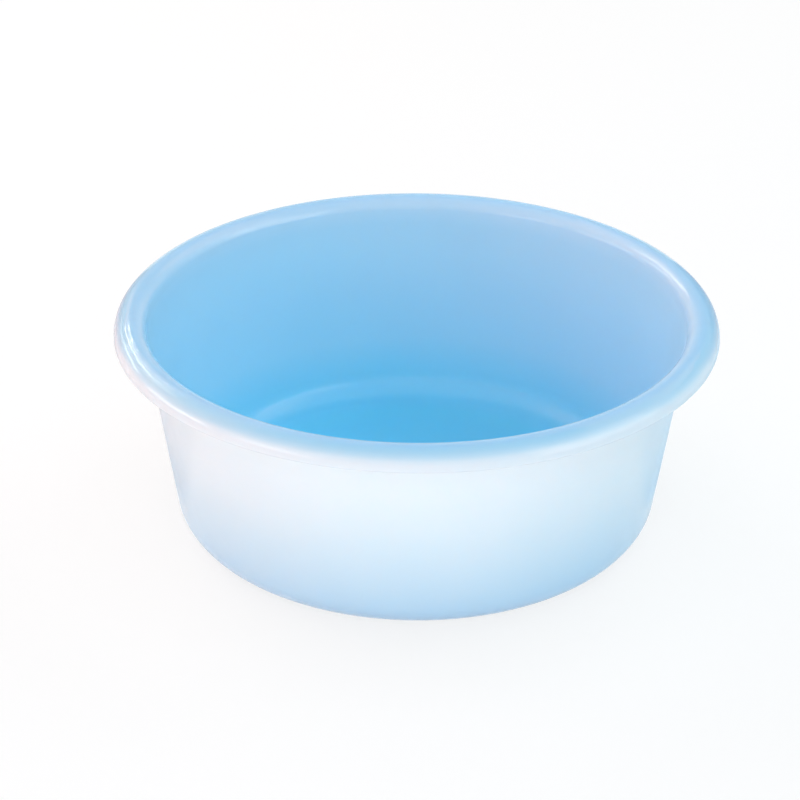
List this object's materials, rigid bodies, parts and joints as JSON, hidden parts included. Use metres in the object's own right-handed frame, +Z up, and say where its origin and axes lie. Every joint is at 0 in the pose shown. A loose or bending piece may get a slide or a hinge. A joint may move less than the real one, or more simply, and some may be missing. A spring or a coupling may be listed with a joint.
{
  "type": "plastic bowl",
  "caption": "Round one-piece plastic wash bowl with a leaning wall, a rolled hollow grip rim and a low foot ring.",
  "frame": {"origin": "centre of the foot ring's underside, on the surface that the bowl stands on", "axes": "+Z up along the bowl's axis of revolution; X and Y are level and equal, because the bowl is round"},
  "size_m": [0.36, 0.36, 0.1355],
  "materials": {
    "pale_blue_plastic": "translucent pale blue polypropylene with a soft moulded gloss"
  },
  "bodies": {
    "root": {"bowl": "pale_blue_plastic"}
  },
  "joints": []
}
